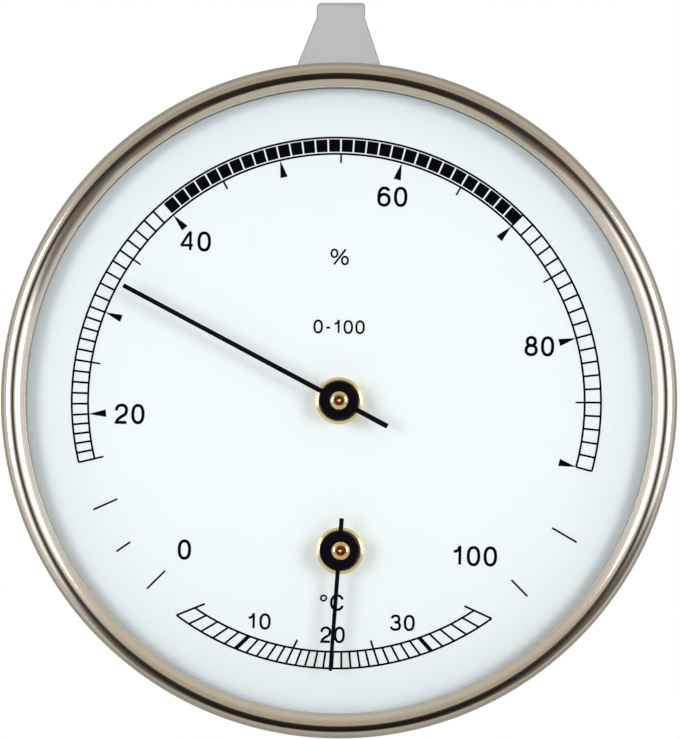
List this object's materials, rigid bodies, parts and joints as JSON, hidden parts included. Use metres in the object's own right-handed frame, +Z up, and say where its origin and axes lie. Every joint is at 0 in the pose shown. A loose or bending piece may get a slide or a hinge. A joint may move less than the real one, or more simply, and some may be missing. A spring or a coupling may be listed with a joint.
{
  "type": "thermo-hygrometer",
  "caption": "Round wall-hung dial instrument: a humidity hand driven by a fibre strand, toothed sector and pinion, and a small temperature hand on a bimetal coil, under flat glass.",
  "frame": {"origin": "centre of the case's flat back, on the large hand's axis, where the instrument rests on the wall", "axes": "+Z up, the dial faces -Y, +X to the right seen from the front"},
  "size_m": [0.103, 0.03, 0.1141],
  "materials": {
    "bezel_steel": "fine circumferential polish",
    "lens_glass": "clear flat glass",
    "seal_rubber": "matt",
    "spacer_metal": "bright rolled strip",
    "dial_paint": "smooth satin white",
    "case_metal": "drawn sheet, satin",
    "lug_metal": "matt silver-grey",
    "screw_steel": "plain",
    "brass": "turned and lapped",
    "cap_brass": "turned, slightly aged",
    "hand_lacquer": "satin blue-black",
    "spring_bronze": "bright rolled strip",
    "bimetal": "rolled strip",
    "strand_fibre": "fine filaments"
  },
  "bodies": {
    "case": {"bezel_ring": "bezel_steel", "lens": "lens_glass", "lens_gasket": "seal_rubber", "spacer_ring": "spacer_metal", "dial": "dial_paint", "case_can": "case_metal", "hanger_lug": "lug_metal", "hanger_rivets": "screw_steel", "hygro_bush": "brass", "hygro_nut": "brass", "hygro_plate": "brass", "pillars": "brass", "rear_bridge": "brass", "bridge_screws": "screw_steel", "hairspring_stud": "brass", "hairspring": "spring_bronze", "fibre_strand": "strand_fibre", "thermo_bush": "brass", "thermo_nut": "brass", "thermo_bracket": "case_metal", "coil_stud": "brass", "bimetal_coil": "bimetal"},
    "lever": {"lever_arbor": "screw_steel", "lever_collet": "brass", "sector_lever": "brass", "lever_pin": "screw_steel", "lever_eyelet": "brass"},
    "hygro_hand": {"hairspring_collet": "brass", "hygro_arbor": "brass", "pinion": "brass", "hygro_ferrule": "cap_brass", "hygro_pointer": "hand_lacquer"},
    "adjuster": {"adjuster_post": "brass", "adjuster_arm": "brass", "adjuster_pin": "screw_steel", "adjuster_eyelet": "brass"},
    "thermo_hand": {"coil_collet": "brass", "thermo_arbor": "brass", "thermo_ferrule": "cap_brass", "thermo_pointer": "hand_lacquer"}
  },
  "joints": [
    {"name": "lever_pivot", "type": "hinge", "parent": "case", "child": "lever", "pos_m": [-0.024, -0.011, 0.01], "axis": [0, 1, 0], "range_deg": [-16.55, 6.05], "stiffness_Nm_per_rad": 0.1, "deforming": ["fibre_strand"]},
    {"name": "hygro_hand_turn", "type": "hinge", "parent": "case", "child": "hygro_hand", "pos_m": [0, -0.0205, 0], "axis": [0, 1, 0], "range_deg": [-72.7, 198.7], "deforming": ["hairspring"]},
    {"name": "adjuster_turn", "type": "hinge", "parent": "case", "child": "adjuster", "pos_m": [0.035, -0.009, 0.01], "axis": [0, 1, 0], "range_deg": [-15, 15], "deforming": ["fibre_strand"]},
    {"name": "thermo_hand_turn", "type": "hinge", "parent": "case", "child": "thermo_hand", "pos_m": [0.00015, -0.0205, -0.023], "axis": [0, 1, 0], "range_deg": [-74, 66], "stiffness_Nm_per_rad": 0.0002, "deforming": ["bimetal_coil"]}
  ],
  "couplings": [
    {"joint": "hygro_hand_turn", "follows": "lever_pivot", "ratio": -12}
  ]
}
